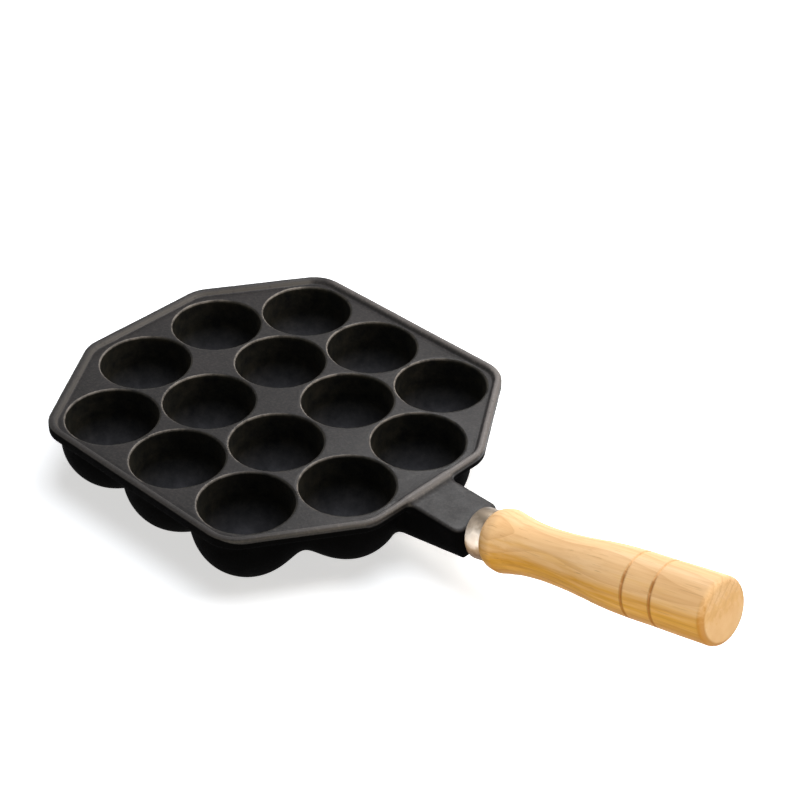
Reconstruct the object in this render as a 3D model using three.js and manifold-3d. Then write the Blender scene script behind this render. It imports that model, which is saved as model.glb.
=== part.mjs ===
import * as THREE from 'three';
import { mergeVertices } from 'three/addons/utils/BufferGeometryUtils.js';
import Module from 'manifold-3d';

// Lengths are in millimetres. The pan is drawn with its plate's centre over the origin and the flat land
// between the wells at height zero. The handle points along +X. The whole part is moved at the end.

// Wells: two middle rows of four and two outer rows of three, in the hollows of the middle rows.
const PITCH = 44;
const OUTER_ROW_SHARE = Math.sqrt(3) / 2;
const LIP_RADIUS = 21.55;
const LIP_ROUND = 1.2;
const WELL_RADIUS = 20;
const WELL_CENTRE_DEPTH = 10.75;
const WELL_WALL = 3.5;
const FOOT_RADIUS = 6;
const VALLEY_BLEND = 5.5;
const PLATE_BLEND = 1;

// Plate: a rounded octagon. The diagonal distance is from the centre to each slanting side.
const PLATE_HALF_LENGTH = 94;
const PLATE_HALF_WIDTH = 87;
const PLATE_DIAGONAL = 97;
const DIAGONAL_DEGREES = 33.5;
const PLATE_CORNER_RADIUS = 17;
const PLATE_THICKNESS = 3.5;
const PLATE_EDGE = 1;

// Rim round the plate.
const RIM_WIDTH = 4.5;
const RIM_HEIGHT = 2.2;
const CREST_RADIUS = 1.7;

// Handle axis: it crosses this point of the plane y = 0 and rises outwards.
const AXIS_X = 131.2;
const AXIS_DROP = 4.14;
const TILT_DEGREES = 14.18;

// Arm of the casting. Its belly gets deeper towards the plate.
const ARM_HALF_WIDTH = 12.9;
const ARM_TOP_ROUND = 1.5;
const ARM_BELLY_ROUND = 9;
const ARM_END_DEPTH = 17;
const ARM_SLOPE_SHARE = 0.18;
const ARM_END_ROUND = 1.6;
const ARM_WEB = 3.6;
const ARM_WEB_RISE = 1.2;
const ARM_ROOT_HALF_WIDTH = 6;
const ARM_ROOT_REACH = 14;
const ARM_ROOT_DROP = 2;

// Ferrule: a drawn cap over the wood's spigot, with a hole for the stud.
const FERRULE_RADIUS = 11.2;
const FERRULE_WALL = 0.9;
const FERRULE_FRONT = 7.5;
const FERRULE_BACK = 1.3;
const FERRULE_ROUND = 1;

// Stud between the arm and the wood.
const STUD_RADIUS = 4;
const STUD_CHAMFER = 0.6;
const STUD_IN_ARM = 14;
const STUD_IN_WOOD = 38;

// Gaps between neighbours that touch in use.
const SEAT_GAP = 0.3;

// Wooden grip. The shares are of its length, from the ferrule outwards, and of its radius.
const GRIP_LENGTH = 116.9;
const GRIP_RADIUS = 14;
const GRIP_PROFILE_SHARES = [
  [0, 0.843], [0.013, 0.907], [0.034, 0.957], [0.06, 0.979], [0.086, 0.936], [0.111, 0.9],
  [0.145, 0.85], [0.188, 0.814], [0.24, 0.793], [0.308, 0.8], [0.376, 0.829], [0.445, 0.879],
  [0.513, 0.936], [0.582, 0.971], [0.636, 0.986], [0.842, 0.991], [0.911, 1],
];
const GROOVE_SHARES = [0.662, 0.782];
const GROOVE_DEPTH = 0.6;
const GROOVE_HALF_WIDTH = 0.6;
const GRIP_END_ROUND = 2.4;

// How finely curves are divided.
const WELL_STEP_DEGREES = 15.5;
const RIM_STEP = 8;
const CORNER_STEP_DEGREES = 11.5;
const GRIP_SIDES = 28;
const STUD_SIDES = 16;
const SAME_POINT = PITCH / 1e5;

const radians = THREE.MathUtils.degToRad;
const tilt = radians(TILT_DEGREES);
const bumpRadius = WELL_RADIUS + WELL_WALL;
const boreRadius = STUD_RADIUS + SEAT_GAP;
const studStart = -FERRULE_FRONT - STUD_IN_ARM;
const outerRow = PITCH / 2 + PITCH * OUTER_ROW_SHARE;

const wells = [];
for (const side of [-1, 1]) {
  for (const column of [-1.5, -0.5, 0.5, 1.5]) wells.push([column * PITCH, side * PITCH / 2]);
  for (const column of [-1, 0, 1]) wells.push([column * PITCH, side * outerRow]);
}

const wasm = await Module();
wasm.setup();

/** A geometry with shared corners and without triangles that have no area. */
function welded(geometry) {
  const bare = geometry.clone();
  bare.deleteAttribute('normal');
  bare.deleteAttribute('uv');
  const merged = mergeVertices(bare, SAME_POINT);
  const kept = [];
  for (let i = 0; i < merged.index.count; i += 3) {
    const [a, b, c] = merged.index.array.slice(i, i + 3);
    if (a !== b && b !== c && c !== a) kept.push(a, b, c);
  }
  merged.setIndex(kept);
  return merged;
}

function toManifold(geometry) {
  const bare = welded(geometry);
  return new wasm.Manifold(new wasm.Mesh({
    numProp: 3,
    vertProperties: new Float32Array(bare.attributes.position.array),
    triVerts: new Uint32Array(bare.index.array),
  }));
}

function fromManifold(solid) {
  const mesh = solid.getMesh();
  const geometry = new THREE.BufferGeometry();
  geometry.setAttribute('position', new THREE.BufferAttribute(new Float32Array(mesh.vertProperties), 3));
  geometry.setIndex(new THREE.BufferAttribute(new Uint32Array(mesh.triVerts), 1));
  return geometry;
}

/** Collects triangles between rings of points. Rings run anticlockwise seen from above. */
class Skin {
  constructor() {
    this.corners = [];
  }

  triangle(a, b, c) {
    this.corners.push(...a, ...b, ...c);
  }

  band(outer, inner) {
    outer.forEach((point, i) => {
      const j = (i + 1) % outer.length;
      this.triangle(point, outer[j], inner[j]);
      this.triangle(point, inner[j], inner[i]);
    });
  }

  cap(ring, centre, up) {
    ring.forEach((point, i) => {
      const next = ring[(i + 1) % ring.length];
      if (up) this.triangle(centre, point, next);
      else this.triangle(centre, next, point);
    });
  }

  geometry() {
    const geometry = new THREE.BufferGeometry();
    geometry.setAttribute('position', new THREE.BufferAttribute(new Float32Array(this.corners), 3));
    return mergeVertices(geometry, SAME_POINT);
  }
}

const mix = (a, b, share) => [a[0] + (b[0] - a[0]) * share, a[1] + (b[1] - a[1]) * share];
const distance = (a, b) => Math.hypot(a[0] - b[0], a[1] - b[1]);

/** Corners of the plate's outline, moved inwards, with the same count at every inset. */
function outline(inset) {
  const normals = [0, DIAGONAL_DEGREES, 90, 180 - DIAGONAL_DEGREES, 180, 180 + DIAGONAL_DEGREES, 270,
    360 - DIAGONAL_DEGREES, 360].map(radians);
  const reach = [PLATE_HALF_LENGTH, PLATE_DIAGONAL, PLATE_HALF_WIDTH, PLATE_DIAGONAL];
  const points = [];
  for (let side = 0; side < normals.length - 1; side += 1) {
    const [from, to] = [normals[side], normals[side + 1]];
    const near = reach[side % reach.length] - PLATE_CORNER_RADIUS;
    const far = reach[(side + 1) % reach.length] - PLATE_CORNER_RADIUS;
    const spread = Math.sin(to - from);
    const centre = [
      (near * Math.sin(to) - far * Math.sin(from)) / spread,
      (far * Math.cos(from) - near * Math.cos(to)) / spread,
    ];
    const steps = Math.ceil((to - from) / radians(CORNER_STEP_DEGREES));
    for (let step = 0; step <= steps; step += 1) {
      const angle = from + (to - from) * step / steps;
      points.push([
        centre[0] + (PLATE_CORNER_RADIUS - inset) * Math.cos(angle),
        centre[1] + (PLATE_CORNER_RADIUS - inset) * Math.sin(angle),
      ]);
    }
  }
  return points;
}

/** Stations round the outline: a side's number and the share along it. Wells' cells meet at stations. */
function outlineStations() {
  const foot = outline(RIM_WIDTH);
  const stations = [];
  foot.forEach((start, side) => {
    const end = foot[(side + 1) % foot.length];
    const shares = [0, 1];
    wells.forEach((a, i) => wells.slice(i + 1).forEach((b) => {
      const gapAt = (point) => distance(point, a) ** 2 - distance(point, b) ** 2;
      const share = gapAt(start) / (gapAt(start) - gapAt(end));
      if (!(share > 0 && share < 1)) return;
      const point = mix(start, end, share);
      const nearest = Math.min(...wells.map((well) => distance(point, well)));
      if (distance(point, a) < nearest + SAME_POINT) shares.push(share);
    }));
    shares.sort((a, b) => a - b);
    for (let k = 0; k < shares.length - 1; k += 1) {
      const run = distance(start, end) * (shares[k + 1] - shares[k]);
      const steps = Math.max(1, Math.round(run / RIM_STEP));
      for (let step = 0; step < steps; step += 1) {
        stations.push([side, shares[k] + (shares[k + 1] - shares[k]) * step / steps]);
      }
    }
  });
  return stations;
}

const stations = outlineStations();

function outlineRing(inset) {
  const corners = outline(inset);
  return stations.map(([side, share]) => mix(corners[side], corners[(side + 1) % corners.length], share));
}

/** Joins distances with a soft blend of the given size. */
function blend(distances, size) {
  const least = Math.min(...distances);
  const sum = distances.reduce((total, value) => total + Math.exp((least - value) / size), 0);
  return least - size * Math.log(sum);
}

/** How far a place lies inside the upright walls of the blended bumps. */
function wallDepth(point) {
  return bumpRadius - blend(wells.map((well) => distance(point, well)), VALLEY_BLEND);
}

/** The share of a line, from a place inside the bumps' walls, at which it leaves them. */
function wallShare(from, to) {
  let [inside, outside] = wallDepth(to) > 0 ? [1, 1] : [0, 1];
  while (distance(from, to) * (outside - inside) > SAME_POINT) {
    const middle = (inside + outside) / 2;
    if (wallDepth(mix(from, to, middle)) > 0) inside = middle;
    else outside = middle;
  }
  return inside;
}

/** Shares of a line at which it crosses the bumps' walls: one on them, and one just outside. */
function wallShares(from, to) {
  const [starts, ends] = [from, to].map((point) => wallDepth(point) > 0);
  if (starts === ends) return [];
  if (ends) return wallShares(to, from).map((share) => 1 - share);
  const share = wallShare(from, to);
  return [share, share + Math.min(PLATE_BLEND / distance(from, to), (1 - share) / 2)];
}

/** The part of the plate that is nearest to one well. Each corner holds its place on the top and below. */
function cell(well) {
  const below = outlineRing(PLATE_EDGE);
  let corners = outlineRing(RIM_WIDTH).map((top, i) => ({ top, below: below[i] }));
  const closeness = ({ top }, other) => (distance(top, other) ** 2 - distance(top, well) ** 2) / PITCH;
  const others = wells.filter((other) => other !== well);
  for (const other of others) {
    const kept = [];
    corners.forEach((corner, i) => {
      const next = corners[(i + 1) % corners.length];
      const [here, there] = [closeness(corner, other), closeness(next, other)];
      if (here > -SAME_POINT) kept.push(corner);
      if ((here > SAME_POINT && there < -SAME_POINT) || (here < -SAME_POINT && there > SAME_POINT)) {
        const point = mix(corner.top, next.top, here / (here - there));
        kept.push({ top: point, below: point });
      }
    });
    corners = kept;
  }
  const divided = [];
  corners.forEach((corner, i) => {
    const next = corners[(i + 1) % corners.length];
    divided.push(corner);
    const shared = others.some((other) => Math.abs(closeness(corner, other)) < SAME_POINT
      && Math.abs(closeness(next, other)) < SAME_POINT);
    if (!shared) return;
    const [a, b] = [corner, next].map(({ top }) => [top[0] - well[0], top[1] - well[1]]);
    const sweep = Math.acos((a[0] * b[0] + a[1] * b[1]) / Math.hypot(...a) / Math.hypot(...b));
    const steps = Math.max(1, Math.round(sweep / radians(WELL_STEP_DEGREES)));
    const shares = [];
    for (let step = 1; step < steps; step += 1) {
      const near = Math.hypot(...a) * Math.sin(sweep * step / steps);
      const far = Math.hypot(...b) * Math.sin(sweep * (steps - step) / steps);
      shares.push(near / (near + far));
    }
    const [from, to] = [corner.below, next.below];
    const crossings = wallShares(from, to);
    const spread = shares.filter((share) => crossings.every(
      (crossing) => Math.abs(share - crossing) * distance(from, to) > PLATE_BLEND * 2,
    ));
    for (const share of [...spread, ...crossings].sort((one, other) => one - other)) {
      divided.push({ top: mix(corner.top, next.top, share), below: mix(from, to, share) });
    }
  });
  return divided;
}

const footHeight = -WELL_CENTRE_DEPTH - Math.sqrt(bumpRadius ** 2 - FOOT_RADIUS ** 2);

/** Height of the underside: bumps under the wells, blended into each other and into the plate. */
function undersideHeight([x, y]) {
  const gap = (z) => {
    const centres = wells.map((well) => Math.hypot(x - well[0], y - well[1], z + WELL_CENTRE_DEPTH));
    const bumps = blend(centres, VALLEY_BLEND) - bumpRadius;
    return blend([bumps, -PLATE_THICKNESS - z], PLATE_BLEND);
  };
  let z = -WELL_CENTRE_DEPTH - bumpRadius - VALLEY_BLEND;
  while (gap(z) > SAME_POINT && z < -PLATE_THICKNESS) z += Math.max(gap(z), SAME_POINT);
  return Math.min(Math.max(z, footHeight), -PLATE_THICKNESS);
}

/** A well's wall from its lip to its bottom: radius and height. */
function wellProfile() {
  const lip = [90, 45, 0].map(radians).map((angle) => [
    LIP_RADIUS - LIP_ROUND * Math.cos(angle),
    -LIP_ROUND + LIP_ROUND * Math.sin(angle),
  ]);
  const bowl = [0, 22.5, 45, 67.5].map(radians).map((angle) => [
    WELL_RADIUS * Math.cos(angle),
    -WELL_CENTRE_DEPTH - WELL_RADIUS * Math.sin(angle),
  ]);
  return [...lip, ...bowl];
}

/** Rim section from the foot outwards, down to the plate's lower edge: inset and height. */
function rimProfile() {
  const crest = [CREST_RADIUS, RIM_HEIGHT - CREST_RADIUS];
  const toFoot = [RIM_WIDTH - crest[0], -crest[1]];
  const touch = Math.atan2(toFoot[1], toFoot[0]) + Math.acos(CREST_RADIUS / Math.hypot(...toFoot));
  const arc = [touch, Math.PI / 2, Math.PI * 3 / 4, Math.PI].map((angle) => [
    crest[0] + CREST_RADIUS * Math.cos(angle),
    crest[1] + CREST_RADIUS * Math.sin(angle),
  ]);
  return [[RIM_WIDTH, 0], ...arc, [0, PLATE_EDGE - PLATE_THICKNESS], [PLATE_EDGE, -PLATE_THICKNESS]];
}

/** The plate with its rim, its wells and the bumps under them. */
function plate() {
  const skin = new Skin();
  const toward = (well, point, radius) => mix(well, point, radius / distance(well, point));
  const bumpAngles = [36, 60, 84].map(radians);
  const bumpRings = (wall) => [
    FOOT_RADIUS, ...bumpAngles.map((angle) => wall * Math.sin(angle)), wall + PLATE_BLEND,
  ];
  const ringGap = (LIP_RADIUS - WELL_RADIUS) / 2;
  for (const well of wells) {
    const corners = cell(well);
    const tops = wellProfile().map(([radius, height]) => corners.map(
      ({ top }) => [...toward(well, top, radius), height],
    ));
    tops.unshift(corners.map(({ top }) => [...top, 0]));
    for (let i = 0; i < tops.length - 1; i += 1) skin.band(tops[i], tops[i + 1]);
    skin.cap(tops.at(-1), [...well, -WELL_CENTRE_DEPTH - WELL_RADIUS], true);
    const spokes = corners.map(({ below }) => {
      const reach = distance(well, below);
      return bumpRings(reach * wallShare(well, below)).map((radius, i, radii) => {
        const point = toward(well, below, Math.min(radius, reach - ringGap * (radii.length - i)));
        return [...point, undersideHeight(point)];
      });
    });
    const bottoms = spokes[0].map((_, i) => spokes.map((spoke) => spoke[i]));
    bottoms.push(corners.map(({ below }) => [...below, undersideHeight(below)]));
    for (let i = 0; i < bottoms.length - 1; i += 1) skin.band(bottoms[i], bottoms[i + 1]);
    skin.cap(bottoms[0], [...well, footHeight], false);
  }
  const edge = outlineRing(PLATE_EDGE);
  const rings = rimProfile().map(
    ([inset, height]) => outlineRing(inset).map((point) => [...point, height]),
  );
  rings[rings.length - 1] = edge.map((point) => [...point, undersideHeight(point)]);
  for (let i = 0; i < rings.length - 1; i += 1) skin.band(rings[i + 1], rings[i]);
  return skin.geometry();
}

/** One section of the arm, with a flat top and a rounded belly. It leans outwards below by the lean. */
function armSection({ x, lean = 0, half, top, bottom, topRound, bellyRound }) {
  const quarter = (y, z, radius, from, steps) => Array.from({ length: steps + 1 }, (_, step) => {
    const angle = from - Math.PI / 2 * step / steps;
    return [y + radius * Math.cos(angle), z + radius * Math.sin(angle)];
  });
  const right = [
    ...quarter(half - topRound, top - topRound, topRound, Math.PI / 2, 2),
    ...quarter(half - bellyRound, bottom + bellyRound, bellyRound, 0, 4),
  ];
  const left = right.map(([y, z]) => [-y, z]).reverse();
  return [...right, ...left].map(([y, z]) => [x - lean * z, y, z]);
}

/** A closed body over sections that face +X, listed from the plate outwards. */
function loft(sections) {
  const skin = new Skin();
  const middle = (ring) => [0, 1, 2].map((k) => (
    ring.reduce((sum, point) => sum + point[k], 0) / ring.length
  ));
  skin.cap(sections[0], middle(sections[0]), true);
  for (let i = 0; i < sections.length - 1; i += 1) skin.band(sections[i + 1], sections[i]);
  skin.cap(sections.at(-1), middle(sections.at(-1)), false);
  return skin.geometry();
}

/** Where the arm's end face crosses height zero. It stands square to the handle axis. */
const endLean = Math.tan(tilt);
const endX = AXIS_X - (FERRULE_FRONT + SEAT_GAP) / Math.cos(tilt) - AXIS_DROP * endLean;

function arm() {
  const bellyAt = (x) => -ARM_END_DEPTH - ARM_SLOPE_SHARE * (endX - x);
  const section = (x, changes) => armSection({
    x,
    half: ARM_HALF_WIDTH,
    top: 0,
    bottom: bellyAt(x),
    topRound: ARM_TOP_ROUND,
    bellyRound: ARM_BELLY_ROUND,
    ...changes,
  });
  const root = [
    section(PLATE_HALF_LENGTH - ARM_ROOT_REACH, {
      half: ARM_ROOT_HALF_WIDTH, top: -ARM_ROOT_DROP, bellyRound: ARM_ROOT_HALF_WIDTH,
    }),
    section(PLATE_HALF_LENGTH - RIM_WIDTH + CREST_RADIUS, { top: -ARM_ROOT_DROP }),
  ];
  const web = [0, 30, 60, 90].map(radians).map((angle) => {
    const left = 1 - Math.sin(angle);
    return section(PLATE_HALF_LENGTH + ARM_WEB * (1 - Math.cos(angle)), {
      half: ARM_HALF_WIDTH + ARM_WEB * left,
      top: ARM_WEB_RISE * left,
      bellyRound: ARM_BELLY_ROUND + ARM_WEB * left,
    });
  });
  const end = [0, 45, 90].map(radians).map((angle) => {
    const inset = ARM_END_ROUND * (1 - Math.cos(angle));
    return section(endX - ARM_END_ROUND * (1 - Math.sin(angle)), {
      lean: endLean, half: ARM_HALF_WIDTH - inset, top: -inset, bottom: bellyAt(endX) + inset,
    });
  });
  return loft([...root, ...web, ...end]);
}

/** A turned body about the handle axis. The profile lists radius and distance along the axis. */
function turned(profile, sides) {
  const geometry = new THREE.LatheGeometry(profile.map((point) => new THREE.Vector2(...point)), sides);
  geometry.rotateZ(-Math.PI / 2);
  geometry.rotateY(-tilt);
  geometry.translate(AXIS_X, 0, -AXIS_DROP);
  return welded(geometry);
}

function rod(radius, from, to, chamfer) {
  return turned([
    [0, from], [radius - chamfer, from], [radius, from + chamfer],
    [radius, to - chamfer], [radius - chamfer, to], [0, to],
  ], STUD_SIDES);
}

function casting() {
  const bore = turned([
    [0, studStart - SEAT_GAP], [boreRadius, studStart - SEAT_GAP],
    [boreRadius, FERRULE_BACK], [0, FERRULE_BACK],
  ], STUD_SIDES);
  return fromManifold(toManifold(plate()).add(toManifold(arm())).subtract(toManifold(bore)));
}

function ferrule() {
  const inner = FERRULE_RADIUS - FERRULE_WALL;
  const front = -FERRULE_FRONT;
  const bend = [90, 60, 30, 0].map(radians).map((angle) => [
    FERRULE_RADIUS - FERRULE_ROUND + FERRULE_ROUND * Math.cos(angle),
    front + FERRULE_ROUND - FERRULE_ROUND * Math.sin(angle),
  ]);
  const hole = [boreRadius, front];
  return turned([
    hole, ...bend, [FERRULE_RADIUS, FERRULE_BACK], [inner, FERRULE_BACK],
    [inner, front + FERRULE_WALL], [boreRadius, front + FERRULE_WALL], hole,
  ], GRIP_SIDES);
}

function grip() {
  const shoulder = FERRULE_BACK + SEAT_GAP;
  const gripEnd = shoulder + GRIP_LENGTH;
  const spigotRadius = FERRULE_RADIUS - FERRULE_WALL - SEAT_GAP;
  const spigotFront = -FERRULE_FRONT + FERRULE_WALL + SEAT_GAP;
  const boreEnd = STUD_IN_WOOD + SEAT_GAP;
  const side = GRIP_PROFILE_SHARES.map(([along, radius]) => [
    GRIP_RADIUS * radius,
    shoulder + GRIP_LENGTH * along,
  ]);
  for (const share of GROOVE_SHARES) {
    const along = shoulder + GRIP_LENGTH * share;
    const next = side.findIndex((point) => point[1] > along);
    const [before, after] = [side[next - 1], side[next]];
    const [surface] = mix(before, after, (along - before[1]) / (after[1] - before[1]));
    side.splice(next, 0, ...[-1, 0, 1].map((edge) => [
      surface - GROOVE_DEPTH * (1 - Math.abs(edge)), along + GROOVE_HALF_WIDTH * edge,
    ]));
  }
  const end = [0, 30, 60, 90].map(radians).map((angle) => [
    GRIP_RADIUS - GRIP_END_ROUND * (1 - Math.cos(angle)),
    gripEnd - GRIP_END_ROUND * (1 - Math.sin(angle)),
  ]);
  return turned([
    [0, boreEnd], [boreRadius, boreEnd], [boreRadius, spigotFront], [spigotRadius, spigotFront],
    [spigotRadius, shoulder], ...side, ...end, [0, gripEnd],
  ], GRIP_SIDES);
}

const IRON = new THREE.MeshStandardMaterial({ color: '#46423f', roughness: 0.62, metalness: 0.35 });
const STEEL = new THREE.MeshStandardMaterial({ color: '#c9c2b8', roughness: 0.32, metalness: 0.9 });
const ZINC = new THREE.MeshStandardMaterial({ color: '#8d8f92', roughness: 0.45, metalness: 0.9 });
const WOOD = new THREE.MeshStandardMaterial({ color: '#e2b47c', roughness: 0.48, metalness: 0 });

const part = new THREE.Group();
part.name = 'takoyaki_pan';
for (const [name, geometry, material] of [
  ['pan_casting', casting(), IRON],
  ['ferrule', ferrule(), STEEL],
  ['stud', rod(STUD_RADIUS, studStart, STUD_IN_WOOD, STUD_CHAMFER), ZINC],
  ['handle_grip', grip(), WOOD],
]) {
  const mesh = new THREE.Mesh(geometry, material);
  mesh.name = name;
  part.add(mesh);
}

// The shared frame: the origin is the bottom centre of the whole part's box.
const box = new THREE.Box3().setFromObject(part);
const centre = box.getCenter(new THREE.Vector3());
for (const mesh of part.children) {
  mesh.geometry.translate(-centre.x, -centre.y, -box.min.z);
  mesh.geometry.computeVertexNormals();
}

export default part;
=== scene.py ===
"""The looks of a cast-iron ball pan with a turned wooden handle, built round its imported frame."""

import math

import bpy
import numpy as np
from mathutils import Matrix, Vector


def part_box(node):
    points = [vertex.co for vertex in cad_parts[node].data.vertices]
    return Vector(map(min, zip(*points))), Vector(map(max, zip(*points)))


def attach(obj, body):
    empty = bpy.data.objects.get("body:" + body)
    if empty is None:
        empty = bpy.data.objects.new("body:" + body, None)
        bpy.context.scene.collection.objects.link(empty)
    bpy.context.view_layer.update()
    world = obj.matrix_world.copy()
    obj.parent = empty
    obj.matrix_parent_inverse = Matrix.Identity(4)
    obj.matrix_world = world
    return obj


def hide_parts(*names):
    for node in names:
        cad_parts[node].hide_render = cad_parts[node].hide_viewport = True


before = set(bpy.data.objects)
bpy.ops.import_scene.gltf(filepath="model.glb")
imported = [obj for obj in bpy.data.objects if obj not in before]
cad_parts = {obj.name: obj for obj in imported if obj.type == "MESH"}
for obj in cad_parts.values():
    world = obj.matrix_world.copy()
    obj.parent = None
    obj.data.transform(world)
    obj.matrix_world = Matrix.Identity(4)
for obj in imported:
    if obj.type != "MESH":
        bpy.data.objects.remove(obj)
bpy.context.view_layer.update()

# Lengths are in millimetres in the pan's own frame: the plate's centre is over its origin, and the land
# between the wells is at height zero. PAN_TO_ROW carries that frame into the row's frame, in metres.
MM = 0.001

PITCH = 44.0
OUTER_ROW = PITCH / 2 + PITCH * math.sqrt(3) / 2
WELLS = [(c * PITCH, s * PITCH / 2) for s in (-1, 1) for c in (-1.5, -0.5, 0.5, 1.5)]
WELLS += [(c * PITCH, s * OUTER_ROW) for s in (-1, 1) for c in (-1, 0, 1)]
WELL_RADIUS = 20.0
WELL_CENTRE = -10.75
WELL_FLARE = 0.95
WELL_DRAFT = WELL_FLARE / -WELL_CENTRE
LIP_ROUND = 0.6
WALL = 3.5
FOOT_RADIUS = 6.0
VALLEY_BLEND = 5.5

PLATE_HALF_LENGTH = 94.0
PLATE_HALF_WIDTH = 87.0
PLATE_DIAGONAL = 97.0
DIAGONAL_ANGLE = math.radians(33.5)
CORNER_RADIUS = 17.0
PLATE_THICKNESS = 3.5
PLATE_EDGE = 1.0
PLATE_BLEND = 3.0
RIM_WIDTH = 4.5
RIM_HEIGHT = 2.2
CREST_RADIUS = 1.7
FOOT_GROOVE = 0.35
FOOT_GROOVE_WIDTH = 0.6
UNEVEN_DEPTH = 0.12

# Edges that face this way get painted highlights, and the rim's crest some wear as well: the rim on this
# side, and the lips on the far side of each well. The rim's inner slopes that face this way are painted
# lighter, those facing away darker.
LIGHT_AND_WEAR_SIDE = math.radians(20)

# The handle's axis passes through this point near the ferrule's back. The ferrule and the grip are measured
# from it along the axis, and what lies towards the plate is below zero.
AXIS_POINT = (131.2, 0.0, -4.14)
TILT = math.radians(14.18)
ARM_HALF_WIDTH = 12.9
ARM_DEPTH = 17.0
ARM_SLOPE = 0.18
ARM_TOP_ROUND = 1.5
ARM_BELLY_ROUND = 9.0
ARM_CORNER_ROUND = 4.0
ARM_BLEND = 3.5
ARM_START = 78.0
ARM_TOP_START = 91.0

FERRULE_RADIUS = 11.2
FERRULE_WALL = 0.9
FERRULE_FRONT = -7.5
FERRULE_BACK = 1.3
FERRULE_ROUND = 1.0
FERRULE_MOUTH_ROUND = 0.25
FERRULE_SHARP = math.radians(35)
SEAT_GAP = 0.3
STUD_RADIUS = 4.0
STUD_IN_ARM = 14.0
STUD_IN_WOOD = 38.0
BORE_RADIUS = STUD_RADIUS + SEAT_GAP

GRIP_END = 118.4
GRIP_END_RADIUS = 13.94
GRIP_END_ROUND = 2.4
GRIP_SHARP = math.radians(40)
GROOVES = (79.0, 93.0)
GROOVE_DEPTH = 0.6
GROOVE_HALF_WIDTH = 0.6

# Stations across a groove in its half widths, and how much steeper its sides are than those of a plain V.
GROOVE_STATIONS = (-1.4, -1, -0.6, -0.25, 0, 0.25, 0.6, 1, 1.4)
GROOVE_STEEP = 1.3

# The grip's curve, by distances along the axis and radii, and how many rings follow it.
GRIP_STATIONS = 110
GRIP_SHAPE = [
    (1.6, 11.8), (3, 12.7), (5.5, 13.4), (8, 13.7), (11, 13.1), (14, 12.6), (18, 11.9), (23, 11.4),
    (29, 11.1), (37, 11.2), (45, 11.6), (53, 12.3), (61, 13.1), (69, 13.6), (76, 13.8), (90, 13.8),
    (100, 13.9), (112, 13.94),
]

# How far apart the casting's points are, and how many sides a turned piece has.
GRID_STEP = 0.8
TURNED_SIDES = 128

# What each point of the casting tells its material, in this order.
IRON_FIELDS = ("to_wall", "inset", "height", "aside", "facing", "lip_side")

casting_low, casting_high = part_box("pan_casting")
PAN_TO_ROW = Matrix.Translation((
    casting_low.x + PLATE_HALF_LENGTH * MM, 0.0, casting_high.z - RIM_HEIGHT * MM,
)) @ Matrix.Scale(MM, 4)


def segment_distance(x, y, start, end):
    """How far a point lies from a straight line between two ends."""
    run = np.subtract(end, start)
    share = np.clip(((x - start[0]) * run[0] + (y - start[1]) * run[1]) / (run @ run), 0, 1)
    return np.hypot(x - start[0] - share * run[0], y - start[1] - share * run[1])


def outline_inset(x, y):
    """How far a point lies inside the plate's rounded octagon."""
    x, y = np.abs(x), np.abs(y)
    length, width = PLATE_HALF_LENGTH - CORNER_RADIUS, PLATE_HALF_WIDTH - CORNER_RADIUS
    slant = PLATE_DIAGONAL - CORNER_RADIUS
    cos, sin = math.cos(DIAGONAL_ANGLE), math.sin(DIAGONAL_ANGLE)
    corners = [
        (length, 0),
        (length, (slant - length * cos) / sin),
        ((slant - width * sin) / cos, width),
        (0, width),
    ]
    away = np.minimum.reduce([segment_distance(x, y, a, b) for a, b in zip(corners, corners[1:])])
    inside = (x < length) & (y < width) & (x * cos + y * sin < slant)
    return CORNER_RADIUS - np.where(inside, -away, away)


def soft_join(a, b, size):
    """The union of two distances with a fillet."""
    near = np.maximum(size - np.abs(a - b), 0) / size
    return np.minimum(a, b) - near * near * size / 4


def round_cut(a, b, radius):
    """The overlap of two distances, with the edge between them rounded."""
    corner = np.hypot(np.maximum(a + radius, 0), np.maximum(b + radius, 0))
    return np.minimum(np.maximum(a, b), -radius) + corner


def plate_distance(inset, z):
    """The flat plate and its rim, by their section."""
    half = PLATE_THICKNESS / 2
    slab = round_cut(-inset, np.abs(z + half) - half, PLATE_EDGE)
    side, up = inset - CREST_RADIUS, z - (RIM_HEIGHT - CREST_RADIUS)
    foot_side, foot_up = RIM_WIDTH - CREST_RADIUS, CREST_RADIUS - RIM_HEIGHT
    touch = math.atan2(foot_up, foot_side) + math.acos(CREST_RADIUS / math.hypot(foot_side, foot_up))
    normal = (math.cos(touch), math.sin(touch))
    over_crest = (up > 0) & (side * normal[1] - up * normal[0] < 0)
    rim = np.where(over_crest, np.hypot(side, up), np.maximum(-side, side * normal[0] + up * normal[1]))
    rim = np.maximum(rim - CREST_RADIUS, -half - z)
    groove = FOOT_GROOVE * np.exp(-((inset - RIM_WIDTH) / FOOT_GROOVE_WIDTH) ** 2) * (z > -half)
    return np.minimum(slab, rim) + groove


def bumps_distance(x, y, z):
    """Round bumps under the wells, blended into each other, with a flat spot under each."""
    total = 0
    depth = np.minimum(z - WELL_CENTRE, 0)
    for cx, cy in WELLS:
        away = np.sqrt((x - cx) ** 2 + (y - cy) ** 2 + depth ** 2) - WELL_RADIUS - WALL
        total = total + np.exp(-away / VALLEY_BLEND)
    bumps = -VALLEY_BLEND * np.log(total)
    foot = WELL_CENTRE - math.sqrt((WELL_RADIUS + WALL) ** 2 - FOOT_RADIUS ** 2)
    bumps = np.maximum(bumps, foot - z)
    return np.maximum(bumps, z + PLATE_BLEND)


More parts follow.
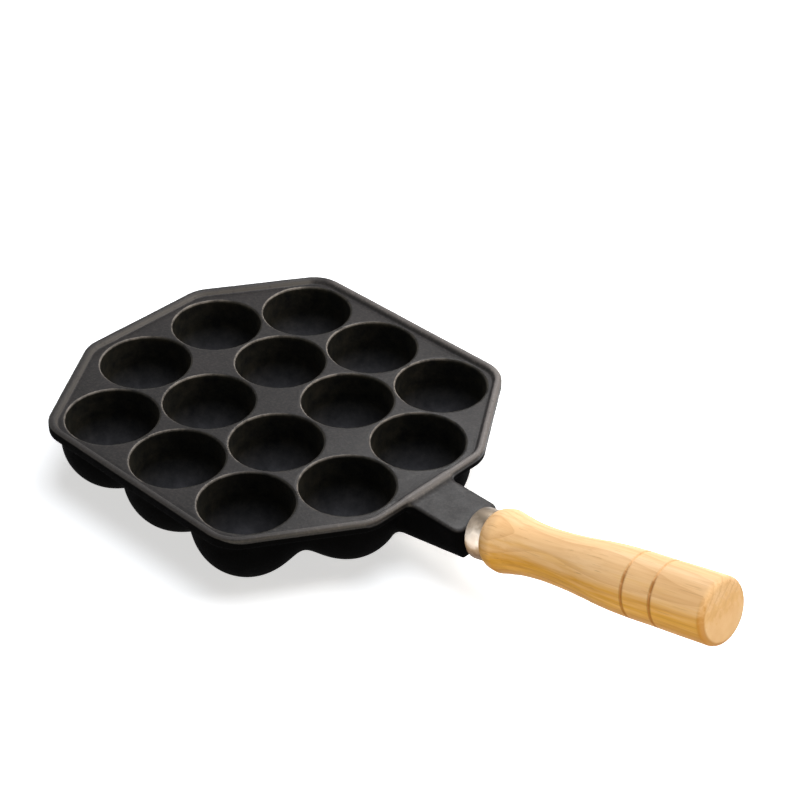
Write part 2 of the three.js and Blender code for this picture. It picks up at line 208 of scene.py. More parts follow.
def wells_distance(x, y, z):
    """The empty space of the wells, open upwards."""
    space = np.inf
    for cx, cy in WELLS:
        away = np.hypot(x - cx, y - cy)
        bowl = np.hypot(away, z - WELL_CENTRE) - WELL_RADIUS
        wall = away - WELL_RADIUS - WELL_DRAFT * (z - WELL_CENTRE)
        space = np.minimum(space, np.where(z < WELL_CENTRE, bowl, wall))
    return space


def along_axis(x, z):
    """How far a point lies along the handle's axis."""
    return (x - AXIS_POINT[0]) * math.cos(TILT) + (z - AXIS_POINT[2]) * math.sin(TILT)


def off_axis(x, y, z):
    """How far a point lies from the handle's axis."""
    rise = (z - AXIS_POINT[2]) * math.cos(TILT) - (x - AXIS_POINT[0]) * math.sin(TILT)
    return np.hypot(y, rise)


def arm_distance(x, y, z):
    """The arm: a flat top, straight sides and a round belly that deepens towards the plate.

    It begins inside the plate's edge on a slope of 45 degrees."""
    end = AXIS_POINT[0] + (FERRULE_FRONT - SEAT_GAP) / math.cos(TILT)
    depth = ARM_DEPTH + ARM_SLOPE * (end - x)
    low = z < -depth / 2
    radius = np.where(low, ARM_BELLY_ROUND, ARM_TOP_ROUND)
    across = np.abs(y) - ARM_HALF_WIDTH
    upward = np.abs(z + depth / 2) - depth / 2
    plan = round_cut(across, along_axis(x, z) - FERRULE_FRONT + SEAT_GAP, ARM_CORNER_ROUND)
    arm = round_cut(plan, upward, radius)
    arm = np.maximum(arm, (z + ARM_TOP_START - x) * math.sqrt(0.5))
    return np.maximum(arm, ARM_START - x)


def unevenness(x, y, z):
    """Slow waves, from 0 to 1, of a sand-cast face, by lengths that show no pattern together."""
    waves = np.sin(x / 9 + 1.3 * np.sin(y / 13)) + np.sin(y / 7 + 1.1 * np.sin(x / 17) + z / 5)
    waves = waves + np.sin((x + y) / 4.3 + 2) * np.sin((x - y) / 5.1 + z / 3)
    return (waves + 3) / 6


def casting_distance(x, y, z):
    """How far a point lies outside the whole casting, and below zero inside it."""
    body = soft_join(plate_distance(outline_inset(x, y), z), bumps_distance(x, y, z), PLATE_BLEND)
    body = soft_join(body, arm_distance(x, y, z), ARM_BLEND)
    body = round_cut(body, -wells_distance(x, y, z), LIP_ROUND)
    bore_end = FERRULE_FRONT - STUD_IN_ARM - SEAT_GAP
    bore = np.maximum(off_axis(x, y, z) - BORE_RADIUS, bore_end - along_axis(x, z))
    return np.maximum(body, -bore) + UNEVEN_DEPTH * unevenness(x, y, z)


def sampled_field(low, high):
    """The casting's distance on a grid, after the grid's places along each axis."""
    axes = [np.arange(a, b + GRID_STEP, GRID_STEP) for a, b in zip(low, high)]
    x, y, z = np.meshgrid(*axes, indexing="ij", sparse=True)
    return axes, casting_distance(x, y, z).astype(np.float32)


def surface_of(low, high):
    """Points and four-sided faces where the casting's distance is zero.

    Each cell of the grid that the surface crosses gets one point, in the middle of the places where the
    surface cuts the cell's edges, and each cut edge gets one face between the cells round it."""
    axes, field = sampled_field(low, high)
    inside = field < 0
    cells = tuple(n - 1 for n in field.shape)
    steps = [(i, j, k) for i in (0, 1) for j in (0, 1) for k in (0, 1)]

    def corner_of_cells(array, step):
        return array[tuple(slice(s, s + n) for s, n in zip(step, cells))]

    count = sum(corner_of_cells(inside, step).astype(np.int8) for step in steps)
    active = (count > 0) & (count < len(steps))
    cell_places = np.argwhere(active)
    number = np.full(cells, -1, np.int64)
    number[active] = np.arange(len(cell_places))
    total, hits = np.zeros((len(cell_places), 3)), np.zeros(len(cell_places))
    value = {step: corner_of_cells(field, step)[active] for step in steps}
    for a in steps:
        for axis in range(3):
            if a[axis]:
                continue
            b = tuple(s + (k == axis) for k, s in enumerate(a))
            cut = (value[a] < 0) != (value[b] < 0)
            share = np.where(cut, value[a] / np.where(cut, value[a] - value[b], 1), 0)
            spot = np.array(a, float)[None] + share[:, None] * np.eye(3)[axis][None]
            total += np.where(cut[:, None], spot, 0)
            hits += cut
    points = (cell_places + total / hits[:, None]) * GRID_STEP + np.array([axis[0] for axis in axes])
    faces = []
    for axis in range(3):
        u, v = [k for k in range(3) if k != axis]
        first = [slice(1, n) for n in cells]
        first[axis] = slice(0, cells[axis])
        second = list(first)
        second[axis] = slice(1, cells[axis] + 1)
        here, there = inside[tuple(first)], inside[tuple(second)]
        corner = np.argwhere(here != there)
        leaving = here[tuple(corner.T)]
        corner[:, [u, v]] += 1
        ring = []
        for du, dv in ((-1, -1), (0, -1), (0, 0), (-1, 0)):
            cell = corner.copy()
            cell[:, u] += du
            cell[:, v] += dv
            ring.append(number[tuple(cell.T)])
        ring = np.stack(ring, 1)
        turn = leaving if axis != 1 else ~leaving
        faces.append(np.where(turn[:, None], ring, ring[:, ::-1]))
    return points, np.concatenate(faces)


def settle(points, rounds):
    """Moves points along the slope of the distance onto the surface."""
    probe, least_steep = 0.01, 0.25
    for _ in range(rounds):
        x, y, z = points.T
        here = casting_distance(x, y, z)
        slope = np.stack([
            casting_distance(x + probe, y, z) - here,
            casting_distance(x, y + probe, z) - here,
            casting_distance(x, y, z + probe) - here,
        ], 1) / probe
        steep = np.maximum((slope ** 2).sum(1), least_steep)
        points = points - slope * (np.clip(here, -GRID_STEP, GRID_STEP) / steep)[:, None]
    return points


def evened(points, faces):
    """Moves each point halfway to the middle of its neighbours."""
    total, count = np.zeros_like(points), np.zeros(len(points))
    for a in range(4):
        for b in ((a + 1) % 4, (a + 3) % 4):
            np.add.at(total, faces[:, a], points[faces[:, b]])
            np.add.at(count, faces[:, a], 1)
    return (points + total / count[:, None]) / 2


def new_piece(name, points, faces, place, material, node):
    """A smooth piece from points in millimetres, in the place of a node of the frame."""
    mesh = bpy.data.meshes.new(name)
    mesh.from_pydata([tuple(p) for p in points], [], [tuple(f) for f in faces])
    mesh.transform(place)
    mesh.update()
    mesh.shade_smooth()
    piece = bpy.data.objects.new(name, mesh)
    bpy.context.collection.objects.link(piece)
    mesh.materials.append(material)
    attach(piece, "root")
    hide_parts(node)
    return piece


def lip_side(x, y):
    """From -1 on the side of the nearest well whose lip gets the painted highlight, to 1 on the side
    opposite, where the lip gets painted shade.
    """
    away = np.stack([np.hypot(x - cx, y - cy) for cx, cy in WELLS])
    cx, cy = np.array(WELLS)[away.argmin(0)].T
    return ((x - cx) * math.cos(LIGHT_AND_WEAR_SIDE) + (y - cy) * math.sin(LIGHT_AND_WEAR_SIDE)) / np.maximum(away.min(0), 1)


def make_casting(material):
    """The casting as one surface, with the fields that its material colours it by."""
    room = 2.0
    low = (-PLATE_HALF_LENGTH - room, -PLATE_HALF_WIDTH - room, WELL_CENTRE - WELL_RADIUS - WALL - room / 2)
    high = (AXIS_POINT[0], PLATE_HALF_WIDTH + room, RIM_HEIGHT + room)
    points, faces = surface_of(low, high)
    points = settle(points, 2)
    for _ in range(2):
        points = settle(evened(points, faces), 1)
    piece = new_piece("iron_casting", points, faces.tolist(), PAN_TO_ROW, material, "pan_casting")
    x, y, z = points.T

    # How squarely the nearest outline faces the way the painted light comes from, and how far beside the
    # arm's middle a point lies.
    step_x, step_y = math.cos(LIGHT_AND_WEAR_SIDE) / 2, math.sin(LIGHT_AND_WEAR_SIDE) / 2
    facing = outline_inset(x - step_x, y - step_y) - outline_inset(x + step_x, y + step_y)
    aside = np.where(x > 0, np.abs(y), PLATE_HALF_WIDTH)
    fields = (wells_distance(x, y, z), outline_inset(x, y), z, aside, facing, lip_side(x, y))
    for name, values in zip(IRON_FIELDS, fields):
        attribute = piece.data.attributes.new(name, "FLOAT", "POINT")
        attribute.data.foreach_set("value", values.astype(np.float32))


# Carries a frame whose Z runs along the handle's axis and whose X points down into the pan's frame.
AXIS_TO_PAN = Matrix.Translation(AXIS_POINT) @ Matrix.Rotation(math.pi / 2 - TILT, 4, "Y")


def turned(profile, sides=TURNED_SIDES):
    """Points and faces of a closed profile of radius and distance, turned about the local Z axis."""
    angles = np.arange(sides) * 2 * math.pi / sides
    points, rings = [], []
    for radius, along in profile:
        if radius == 0:
            rings.append([len(points)] * sides)
            points.append((0, 0, along))
            continue
        rings.append(list(range(len(points), len(points) + sides)))
        points += [(radius * math.cos(a), radius * math.sin(a), along) for a in angles]
    faces = []
    for first, second in zip(rings, rings[1:]):
        for i in range(sides):
            j = (i + 1) % sides
            faces.append(list(dict.fromkeys((first[i], first[j], second[j], second[i]))))
    return points, faces


def corner_arc(radius, along, size, start, end, steps=6):
    """Points of a rounded corner about (radius, along), in degrees from straight outwards."""
    angles = [math.radians(start + (end - start) * k / steps) for k in range(steps + 1)]
    return [(radius + size * math.cos(a), along + size * math.sin(a)) for a in angles]


def make_ferrule(material):
    """A thin cap over the front of the grip, with a round front edge and a seat that the stud passes."""
    inner, seat = FERRULE_RADIUS - FERRULE_WALL, FERRULE_FRONT + FERRULE_WALL
    outer, front, mouth = FERRULE_RADIUS, FERRULE_ROUND, FERRULE_MOUTH_ROUND
    profile = [(BORE_RADIUS, FERRULE_FRONT)]
    profile += corner_arc(outer - front, FERRULE_FRONT + front, front, -90, 0)
    profile += corner_arc(outer - mouth, FERRULE_BACK - mouth, mouth, 0, 90, 3)
    profile += [(inner, FERRULE_BACK), (inner, seat), (BORE_RADIUS, seat), (BORE_RADIUS, FERRULE_FRONT)]
    points, faces = turned(profile)
    place = PAN_TO_ROW @ AXIS_TO_PAN
    piece = new_piece("ferrule_cap", points, faces, place, material, "ferrule")
    piece.data.set_sharp_from_angle(angle=FERRULE_SHARP)


def smooth_radius(along):
    """The grip's radius between the listed stations, on a smooth curve."""
    stations = np.array(GRIP_SHAPE, float)
    s, r = stations[:, 0], stations[:, 1]
    slope = np.gradient(r, s)
    k = np.clip(np.searchsorted(s, along) - 1, 0, len(s) - 2)
    width = s[k + 1] - s[k]
    t = (along - s[k]) / width
    return ((1 + 2 * t) * (1 - t) ** 2 * r[k] + t * (1 - t) ** 2 * width * slope[k]
            + t * t * (3 - 2 * t) * r[k + 1] + t * t * (t - 1) * width * slope[k + 1])


def make_grip(material):
    """The turned grip: a bore for the stud, a spigot in the ferrule, its long curve and its round end."""
    spigot = FERRULE_RADIUS - FERRULE_WALL - SEAT_GAP
    spigot_front = FERRULE_FRONT + FERRULE_WALL + SEAT_GAP
    shoulder = FERRULE_BACK + SEAT_GAP
    bore_end = STUD_IN_WOOD + SEAT_GAP
    round_start = GRIP_END - GRIP_END_ROUND
    stations = np.linspace(shoulder, round_start, GRIP_STATIONS)
    stations = [s for s in stations if all(abs(s - g) > 1.5 * GROOVE_HALF_WIDTH for g in GROOVES)]
    stations += [g + GROOVE_HALF_WIDTH * t for g in GROOVES for t in GROOVE_STATIONS]
    outside = []
    for s in sorted(stations):
        groove = max(1 - min(abs(s - g) for g in GROOVES) / GROOVE_HALF_WIDTH, 0)
        top = min(float(smooth_radius(min(s, GRIP_SHAPE[-1][0]))), GRIP_END_RADIUS)
        outside.append((top - GROOVE_DEPTH * min(groove * GROOVE_STEEP, 1), s))
    profile = [(0, bore_end), (BORE_RADIUS, bore_end), (BORE_RADIUS, spigot_front), (spigot, spigot_front)]
    profile += [(spigot, shoulder)] + outside
    profile += corner_arc(GRIP_END_RADIUS - GRIP_END_ROUND, round_start, GRIP_END_ROUND, 8, 90, 8)
    profile += [(GRIP_END_RADIUS / 2, GRIP_END), (0, GRIP_END)]
    points, faces = turned(profile)
    place = PAN_TO_ROW @ AXIS_TO_PAN
    piece = new_piece("wood_grip", points, faces, place, material, "handle_grip")
    piece.data.set_sharp_from_angle(angle=GRIP_SHARP)


class Nodes:
    """Short calls for building the node tree of a material or of the world."""

    def __init__(self, owner, shader="Principled BSDF"):
        owner.use_nodes = True
        self.owner = owner
        self.tree = owner.node_tree
        self.shader = self.tree.nodes[shader]

    def shade(self, inputs):
        """Gives the shader its inputs by name, and returns the finished material or world."""
        for key, value in inputs.items():
            self.put(self.shader.inputs[key], value)
        return self.owner

    def add(self, kind, inputs=(), **settings):
        node = self.tree.nodes.new(kind)
        for key, value in settings.items():
            setattr(node, key, value)
        for key, value in dict(inputs).items():
            self.put(node.inputs[key], value)
        return node

    def put(self, socket, value):
        if isinstance(value, bpy.types.NodeSocket):
            self.tree.links.new(value, socket)
        else:
            socket.default_value = value

    def place(self):
        return self.add("ShaderNodeTexCoord").outputs["Object"]

    def parts(self, vector):
        """The outputs X, Y and Z of a vector."""
        return self.add("ShaderNodeSeparateXYZ", {"Vector": vector}).outputs

    def stretch(self, vector, scale, rotation=(0, 0, 0), location=(0, 0, 0)):
        inputs = {"Vector": vector, "Scale": scale, "Rotation": rotation, "Location": location}
        return self.add("ShaderNodeMapping", inputs).outputs[0]

    def noise(self, vector, scale, detail=3.0, rough=0.5):
        inputs = {"Vector": vector, "Scale": scale, "Detail": detail, "Roughness": rough}
        return self.add("ShaderNodeTexNoise", inputs).outputs["Fac"]

    def ramp(self, value, stops):
        """A colour by a value, through stops of a place from 0 to 1 and a colour as on a screen."""
        node = self.add("ShaderNodeValToRGB", {"Fac": value})
        ramp = node.color_ramp
        while len(ramp.elements) < len(stops):
            ramp.elements.new(0.5)
        for element, (place, colour) in zip(ramp.elements, stops):
            element.position = place
            element.color = rgba(*colour)
        return node.outputs["Color"]

    def span(self, value, low, high, to_low=0.0, to_high=1.0):
        """A value from low to high, stretched from to_low to to_high and held there beyond both."""
        inputs = {"Value": value, "From Min": low, "From Max": high, "To Min": to_low, "To Max": to_high}
        return self.add("ShaderNodeMapRange", inputs).outputs[0]

    def span_mm(self, value, low, high, to_low=0.0, to_high=1.0):
        """The same for a value in metres, with low and high in millimetres."""
        return self.span(value, low * MM, high * MM, to_low, to_high)

    def math(self, operation, a, b=0.0):
        node = self.add("ShaderNodeMath", operation=operation)
        self.put(node.inputs[0], a)
        self.put(node.inputs[1], b)
        return node.outputs[0]

    def plus(self, a, b):
        return self.math("ADD", a, b)

    def times(self, product, *factors):
        for factor in factors:
            product = self.math("MULTIPLY", product, factor)
        return product

    def length(self, a, b):
        """The length of a vector with two parts."""
        return self.math("SQRT", self.plus(self.times(a, a), self.times(b, b)))

    def near(self, value, middle, far, close):
        """1 within the distance close of the middle, fading to 0 at the distance far from it."""
        return self.span(self.math("ABSOLUTE", self.math("SUBTRACT", value, middle)), far, close)

    def mix(self, share, a, b):
        node = self.add("ShaderNodeMix", data_type="RGBA")
        self.put(node.inputs["Factor"], share)
        self.put(node.inputs["A"], a)
        self.put(node.inputs["B"], b)
        return node.outputs["Result"]

    def bump(self, height, distance, strength, under=None):
        node = self.add("ShaderNodeBump", {"Height": height, "Distance": distance, "Strength": strength})
        if under is not None:
            self.put(node.inputs["Normal"], under)
        return node.outputs[0]


def rgba(*colour):
    """A colour given as it looks on a screen, 0 to 255, as the linear one that nodes take."""
    return (*(((c / 255 + 0.055) / 1.055) ** 2.4 for c in colour), 1)


# Where the iron's tints, painted light and painted shade fade in, each from none to full, in millimetres:
# from the nearest well's wall, from the middle of a lip or of the rim's inner slope, inwards from the
# plate's outline, up from the land, and across the pan. The one named STRIP is how much lower the near-black
# of soot and painted shade begins on the rims that face the light, leaving their outer round as a strip of
# painted light. Those named
# FACING go by how squarely the rim faces the light's side, from 1 to -1 on the opposite one.
WELL_FROM_WALL = (0.5, 0.2)
UNDER_FROM_WALL = (0.6, 1.0)
LIP_FROM_MIDDLE = (0.45, 0.15)
SLOPE_FROM_MIDDLE = (1.3, 0.6)
SLOPE_INSET = RIM_WIDTH - 0.5
SIDE_INSETS = (1.5, 1.1)
LIP_HEIGHTS = (-1.3, -0.7)
CREST_HEIGHTS = (0.7, 1.6)
SLOPE_HEIGHTS = (-0.2, 0.1)
SIDE_HEIGHTS = (1.4, 1.0)
UNDER_HEIGHTS = (-0.3, -1.1)
BOWL_HEIGHTS = (-14, -26)
BOTTOM_HEIGHTS = (-25, -33)
LIT_STRIP = (1.5, 3.2)
BESIDE_ARM = (ARM_HALF_WIDTH - 0.5, ARM_HALF_WIDTH + 1)
WEAR_AND_HIGHLIGHT_ACROSS = (-80, 20)
FRONT_FACING = (0.0, 0.58)
LIT_STRIP_FACING = (0.65, 0.9)
FAR_FACING = (-0.38, -0.6)


def iron_material():
    """Seasoned cast iron: brown in the wells with a painted sheen at their bottoms, lighter on edges by wear
    and painted highlights, with painted light and shade on the rim's slopes, and near-black on the sides and
    below by soot and painted shade.
    """
    n = Nodes(bpy.data.materials.new("cast_iron"))
    where = n.place()
    to_wall, inset, height, aside, facing, lip_side = [
        n.add("ShaderNodeAttribute", attribute_name=name).outputs["Fac"] for name in IRON_FIELDS
    ]
    blotch = n.noise(where, 45, 4, 0.6)
    mottle = n.noise(where, 190, 4, 0.65)
    grain = n.noise(where, 800, 3, 0.65)
    speck = n.noise(where, 420, 2, 0.5)

    # Masks from 0 to 1 for the parts of the casting that have a tint of their own, and for those with
    # painted light and shade.
    # The well's colour reaches half a millimetre further out on the side of each well opposite the painted
    # lip highlight, where it lies on the lip as painted shade.
    in_well = n.span(n.math("SUBTRACT", to_wall, n.span(lip_side, -0.7, 0.6, 0, 0.5)), *WELL_FROM_WALL)
    # Painted highlight on the lips that face the light, faint on the other lips.
    lip_highlight = n.times(
        n.near(to_wall, LIP_ROUND / 2, *LIP_FROM_MIDDLE),
        n.span(height, *LIP_HEIGHTS),
        n.span(lip_side, -0.1, -0.75, 0.1, 1),
    )
    crest = n.span(height, *CREST_HEIGHTS)
    slope = n.times(n.near(inset, SLOPE_INSET, *SLOPE_FROM_MIDDLE), n.span(height, *SLOPE_HEIGHTS))
    front, far = n.span(facing, *FRONT_FACING), n.span(facing, *FAR_FACING)
    # Lighter towards the arm on the rims that face the light: partly wear, partly painted highlight.
    wear_and_highlight = n.times(front, n.span_mm(n.parts(where)["Y"], *WEAR_AND_HIGHLIGHT_ACROSS))
    # On the rims that face the light the near-black begins lower, leaving their outer round lit: painted
    # light.
    lit_strip = n.times(front, n.span(facing, *LIT_STRIP_FACING, *LIT_STRIP))
    # The plate's sides, except where the arm joins, and the underside go near-black: partly soot, partly
    # painted shade.
    side = n.times(
        n.span(inset, *SIDE_INSETS),
        n.span(n.plus(height, lit_strip), *SIDE_HEIGHTS),
        n.span(aside, *BESIDE_ARM),
    )
    under = n.times(n.span(height, *UNDER_HEIGHTS), n.span(to_wall, *UNDER_FROM_WALL))
    below = n.math("MAXIMUM", side, under)
    bottom = n.span(height, *BOTTOM_HEIGHTS)
    chips = n.times(crest, wear_and_highlight, n.span(grain, 0.55, 0.7, 0, 0.5))

    land = n.ramp(blotch, [(0.3, (23, 21, 21)), (0.5, (29, 27, 27)), (0.7, (35, 32, 32))])
    wall = n.ramp(mottle, [(0.3, (15, 15, 15)), (0.5, (27, 26, 22)), (0.7, (38, 35, 29))])
    # Lighter bluish grey for the wells' bottoms: painted sheen of the cool light from above.
    bowl = n.ramp(mottle, [(0.3, (46, 46, 48)), (0.7, (66, 65, 68))])
    # Near-black for the soot and painted shade.
    soot_and_shade_black = n.ramp(blotch, [(0.3, (2, 2, 3)), (0.7, (5, 5, 6))])
    scoured = n.ramp(blotch, [(0.3, (26, 25, 24)), (0.7, (36, 34, 32))])

    # The crest is a little lighter all round by wear, and fully lighter towards the arm on the rims that
    # face the light, by wear and painted highlight.
    colour = n.mix(n.times(crest, n.span(wear_and_highlight, 0, 1, 0.1, 1)), land, rgba(102, 97, 94))
    # Painted light on the inner slopes of the rims that face away from the light, and painted shade on those
    # of the rims that face it.
    colour = n.mix(n.times(far, 0.75, slope), colour, rgba(84, 80, 76))
    colour = n.mix(n.times(front, 0.8, slope), colour, rgba(12, 11, 11))
    colour = n.mix(n.span(grain, 0.45, 0.8, 0, 0.3), colour, rgba(80, 75, 70))
    colour = n.mix(chips, colour, rgba(138, 130, 124))
    colour = n.mix(n.span(speck, 0.62, 0.74, 0, 0.35), colour, rgba(16, 15, 14))
    # In the wells the brown walls turn into the painted sheen towards the bottoms.
    colour = n.mix(in_well, colour, n.mix(n.span(height, *BOWL_HEIGHTS, 0, 0.95), wall, bowl))
    # The lips' painted highlight, broken up by the mottle.
    colour = n.mix(n.times(lip_highlight, n.span(mottle, 0.35, 0.6, 0.3, 1)), colour, rgba(124, 117, 110))
    # Soot and painted shade on the sides and below, with scoured iron on the bumps' bottoms.
    colour = n.mix(below, colour, n.mix(bottom, soot_and_shade_black, scoured))

    rough = n.span(n.noise(where, 160, 3), 0.3, 0.7, 0.42, 0.52)
    dull = n.plus(n.times(below, 0.3), n.times(in_well, 0.05))
    # Gloss almost goes on the soot and painted shade below, and less so on the bumps' bottoms.
    soot_and_shade = n.times(below, n.span(bottom, 0, 1, 0.94, 0.3))
    soft = n.bump(n.noise(where, 260, 3, 0.55), 0.0003, 0.5)
    return n.shade({
        "Base Color": colour,
        "Roughness": n.plus(rough, dull),
        "Specular IOR Level": n.times(n.span(in_well, 0, 1, 0.16, 0.06), n.span(soot_and_shade, 0, 1, 1, 0)),
        "Normal": n.bump(grain, 0.00018, 0.45, soft),
    })


def axis_place(n):
    """Object coordinates turned so that Z runs along the handle and X points down."""
    to_axis = (PAN_TO_ROW @ AXIS_TO_PAN).inverted()
    return n.stretch(n.place(), (1, 1, 1), to_axis.to_euler(), to_axis.translation * MM)


# How far up and down the borders of the painted reflection bands wander, in millimetres.
REFLECTION_BAND_REACH = 2.0


def steel_material():
    """Drawn steel, with painted reflections in bands round its axis: darker at the top, a bright painted
    highlight above the middle, and brown below.
    """
    n = Nodes(bpy.data.materials.new("ferrule_steel"))
    where = axis_place(n)
    ripple = n.span(n.noise(where, 140, 3), 0.3, 0.7, -REFLECTION_BAND_REACH * MM, REFLECTION_BAND_REACH * MM)
    down = n.span_mm(n.plus(n.parts(where)["X"], ripple), -FERRULE_RADIUS, FERRULE_RADIUS)
    return n.shade({
        "Metallic": 1.0,
        # Painted reflections by height: dark above, a bright painted highlight band, and a brown reflection
        # below.
        "Base Color": n.ramp(down, [
            (0.0, (106, 95, 82)), (0.12, (160, 146, 130)), (0.24, (240, 228, 214)),
            (0.38, (222, 206, 188)), (0.5, (160, 134, 104)), (0.62, (112, 84, 54)),
        ]),
        "Roughness": n.span(n.noise(where, 500, 3), 0.3, 0.7, 0.4, 0.5),
        "Normal": n.bump(n.noise(where, 900, 2), 0.00003, 0.4),
    })


def stud_material():
    """Plain plated steel."""
    n = Nodes(bpy.data.materials.new("stud_zinc"))
    where = n.place()
    return n.shade({
        "Metallic": 1.0,
        "Base Color": n.ramp(n.noise(where, 400, 3), [(0.3, (150, 152, 156)), (0.7, (178, 180, 184))]),
        "Roughness": n.span(n.noise(where, 700, 3), 0.3, 0.7, 0.35, 0.5),
    })


# Growth rings run round a line above and beside the grip's axis, in millimetres. They lean against it by a
# share of the length, and noise warps them.
RING_ABOVE = 48.0
RING_BESIDE = 38.0
RING_WARP = 8.0
RING_LEAN = 0.05
RINGS_PER_METRE = 300

# Where the wood's tints, painted sheen and painted shade fade in, each from none to full, in millimetres.
# Those named DOWN are measured downwards from the axis, and streaks of the grain move them up and down. The
# pale above is a painted sheen and the gold below painted shade, deeper still lower down; the groove burns
# fade out under the painted sheen, the end face keeps the sheen, and those named END_SHADE give painted
# shade on the end's round.
STREAK_REACH = 4.0
GOLD_DOWN = (-7.0, 1.0)
DEEP_GOLD_DOWN = (0.0, 8.0)
BURN_DOWN = (-13.5, -8.0)
END_SHADE_DOWN = (-11.0, -2.0)
END_SHADE_RADII = (11.6, 12.4)
END_SHADE_ALONG = (GRIP_END - 2.9, GRIP_END - 1.9)
END_FACE_ALONG = (GRIP_END - 1.6, GRIP_END - 0.4)


def wood_material():
    """Turned wood, pale above as a painted sheen and golden below as painted shade. Growth rings about a
    line beside it arc across its end.
    """
    n = Nodes(bpy.data.materials.new("grip_wood"))
    where = axis_place(n)
    split = n.parts(where)
    down, aside, along = [split[k] for k in "XYZ"]

    def drawn_out(across, lengthwise, detail, rough):
        """Noise drawn out along the grain, by its scale across it and along it."""
        return n.noise(n.stretch(where, (across, across, lengthwise)), 1, detail, rough)

    ring = n.length(n.plus(down, RING_ABOVE * MM), n.plus(aside, RING_BESIDE * MM))
    ring = n.plus(ring, n.times(along, RING_LEAN))
    ring = n.plus(ring, n.times(drawn_out(60, 9, 2, 0.5), RING_WARP * MM))
    wave = n.math("FRACT", n.times(ring, RINGS_PER_METRE))
    late = n.times(n.span(wave, 0.6, 0.95), n.span(wave, 1.0, 0.97))
    fibre = drawn_out(900, 26, 4, 0.6)
    broad = drawn_out(110, 12, 3, 0.55)
    streak = drawn_out(330, 16, 3, 0.6)
    pores = drawn_out(1500, 60, 2, 0.5)
    edge = n.plus(down, n.span(streak, 0.3, 0.7, -STREAK_REACH * MM, STREAK_REACH * MM))
    # Painted shade: golden below a wavy line along the grip, with the pale painted sheen above it.
    golden = n.span_mm(edge, *GOLD_DOWN)

    pale = n.ramp(broad, [(0.3, (235, 191, 139)), (0.5, (240, 199, 149)), (0.72, (243, 205, 159))])
    gold = n.ramp(broad, [(0.3, (208, 152, 58)), (0.5, (228, 174, 80)), (0.7, (240, 192, 106))])
    colour = n.mix(golden, pale, gold)
    # Deeper gold lower down: deeper painted shade.
    colour = n.mix(n.span_mm(edge, *DEEP_GOLD_DOWN, 0, 0.85), colour, rgba(182, 126, 34))
    colour = n.mix(n.times(late, 0.3), colour, rgba(196, 140, 84))
    colour = n.mix(n.span(fibre, 0.45, 0.75, 0, 0.3), colour, rgba(198, 140, 78))
    colour = n.mix(n.span(pores, 0.64, 0.74, 0, 0.4), colour, rgba(164, 112, 66))
    # Burn lines in the grooves, faded out towards the top as part of the painted sheen.
    for groove in GROOVES:
        burn = n.near(along, groove * MM, GROOVE_HALF_WIDTH * 2 * MM, GROOVE_HALF_WIDTH * 0.8 * MM)
        burn = n.times(burn, n.span_mm(edge, *BURN_DOWN, 0.05, 0.8))
        colour = n.mix(burn, colour, rgba(158, 104, 48))
    # The end face keeps the pale painted sheen over the painted shade below.
    colour = n.mix(n.times(n.span_mm(along, *END_FACE_ALONG), golden), colour, pale)
    # Painted shade on the round of the end, stronger below.
    end_shade = n.times(
        n.span_mm(n.length(down, aside), *END_SHADE_RADII),
        n.span_mm(along, *END_SHADE_ALONG),
        n.span_mm(edge, *END_SHADE_DOWN, 0, 0.75),
    )
    colour = n.mix(end_shade, colour, rgba(190, 132, 58))
    return n.shade({
        "Base Color": colour,
        "Roughness": n.span(fibre, 0.3, 0.7, 0.36, 0.46),
        "Specular IOR Level": 0.06,
        "Normal": n.bump(fibre, 0.00006, 0.35),
    })


# How far the floor reaches each way in metres, how strongly it glows near the pan, and the distances between
# which that glow grows to white. WORLD_LIGHT is the world's strength as a light.
FLOOR_REACH = 3.0
FLOOR_GLOW = 0.6
GLOW_GROWS = (0.35, 0.9)
WORLD_LIGHT = 0.03
WHITE = (1, 1, 1, 1)


def seen_by_camera(n):
    """1 for what the camera sees straight, in metal or through glass."""
    path = n.add("ShaderNodeLightPath")
    seen = n.math("MAXIMUM", path.outputs["Is Camera Ray"], path.outputs["Is Glossy Ray"])
    return n.math("MAXIMUM", seen, path.outputs["Is Transmission Ray"])


def make_floor():
    """Paper, pale and glowing for what sees it straight, darker for the light that bounces off it.

    Its glow grows to white away from the pan."""
    n = Nodes(bpy.data.materials.new("floor_paper"))
    seen = seen_by_camera(n)
    pale = n.ramp(n.noise(n.place(), 30, 2), [(0.3, (250, 250, 250)), (0.7, (252, 252, 252))])
    away = n.add("ShaderNodeVectorMath", {0: n.place()}, operation="LENGTH").outputs["Value"]
    material = n.shade({
        "Base Color": n.mix(seen, rgba(120, 120, 120), pale),
        "Roughness": 0.9,
        "Specular IOR Level": 0.0,
        "Emission Color": WHITE,
        "Emission Strength": n.times(seen, n.span(away, *GLOW_GROWS, FLOOR_GLOW, 1)),
    })
    mesh = bpy.data.meshes.new("floor")
    corners = [(x * FLOOR_REACH, y * FLOOR_REACH, 0) for x, y in ((-1, -1), (1, -1), (1, 1), (-1, 1))]
    mesh.from_pydata(corners, [], [(0, 1, 2, 3)])
    mesh.materials.append(material)
    floor = bpy.data.objects.new("floor", mesh)
    bpy.context.collection.objects.link(floor)


def make_world():
    """White for what sees it straight, and nearly dark as a light."""
    world = bpy.data.worlds.new("studio")
    bpy.context.scene.world = world
    n = Nodes(world, "Background")
    n.shade({"Color": WHITE, "Strength": n.span(seen_by_camera(n), 0, 1, WORLD_LIGHT, 1)})


def direction(azimuth, elevation):
    """The way from the origin to what stands at two angles in radians."""
    flat = math.cos(elevation)
    return Vector((math.cos(azimuth) * flat, math.sin(azimuth) * flat, math.sin(elevation)))


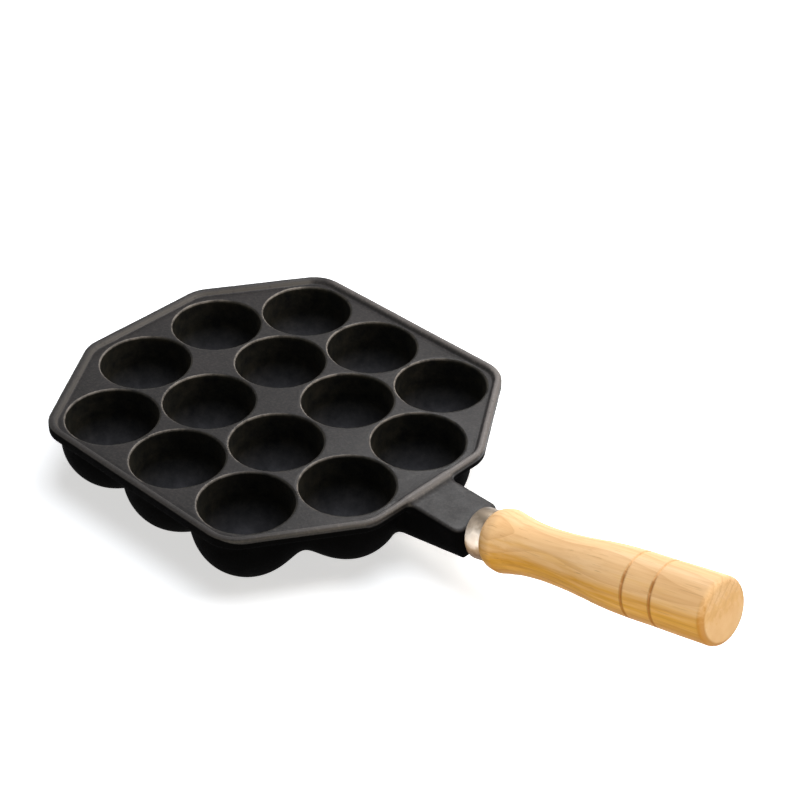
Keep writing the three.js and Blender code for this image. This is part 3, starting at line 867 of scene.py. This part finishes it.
def make_lamp(name, azimuth, elevation, away, size, power, colour=(1, 1, 1), aim=(0, 0, 0.03), tall=None):
    """A soft lamp that looks at a point of the pan, by angles in degrees, metres and watts."""
    back = direction(math.radians(azimuth), math.radians(elevation))
    lamp = bpy.data.lights.new(name, "AREA")
    lamp.shape = "RECTANGLE"
    lamp.size = size
    lamp.size_y = tall or size
    lamp.energy = power
    lamp.color = colour
    holder = bpy.data.objects.new(name, lamp)
    holder.location = Vector(aim) + back * away
    holder.rotation_euler = back.to_track_quat("Z", "Y").to_euler()
    bpy.context.collection.objects.link(holder)


# The camera, fitted to the photograph: where it stands and looks, in the pan's frame.
CAMERA_DISTANCE = 943.711
CAMERA_AZIMUTH = math.radians(-46.252)
CAMERA_ELEVATION = math.radians(35.614)
CAMERA_ROLL = math.radians(0.393)
CAMERA_TARGET = Vector((39.029, 38.456, 0))
CAMERA_LENS = 94.22
SENSOR = 36.0


def make_camera():
    """The camera, turned about its own axis by its roll."""
    back = direction(CAMERA_AZIMUTH, CAMERA_ELEVATION)
    level = Vector((0, 0, 1)).cross(back).normalized()
    upright = back.cross(level)
    right = level * math.cos(CAMERA_ROLL) + upright * math.sin(CAMERA_ROLL)
    up = upright * math.cos(CAMERA_ROLL) - level * math.sin(CAMERA_ROLL)
    data = bpy.data.cameras.new("camera")
    data.sensor_width = SENSOR
    data.lens = CAMERA_LENS
    camera = bpy.data.objects.new("camera", data)
    place = Matrix((right, up, back)).transposed().to_4x4()
    place.translation = PAN_TO_ROW @ (CAMERA_TARGET + back * CAMERA_DISTANCE)
    camera.matrix_world = place
    bpy.context.collection.objects.link(camera)
    bpy.context.scene.camera = camera


make_camera()
make_casting(iron_material())
make_ferrule(steel_material())
make_grip(wood_material())
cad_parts["stud"].data.materials.clear()
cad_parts["stud"].data.materials.append(stud_material())

# The lamp named back is mirrored over the arm, so that the land brightens towards it. Those named top and
# fill light the wood evenly, from above and from low in front.
make_floor()
make_world()
make_lamp("key", azimuth=52, elevation=34, away=0.55, size=0.25, power=1.7, colour=(1, 0.94, 0.87))
make_lamp("back", azimuth=134, elevation=36, away=0.4, size=0.12, power=0.66, aim=(0.12, -0.06, 0.03))
make_lamp("top", azimuth=60, elevation=84, away=1.2, size=0.8, power=11.0, colour=(0.9, 0.94, 1))
make_lamp("fill", azimuth=-50, elevation=1, away=1.0, size=1.2, power=8.5, colour=(1, 0.9, 0.68), tall=0.1)
bpy.context.scene.view_settings.view_transform = "Standard"
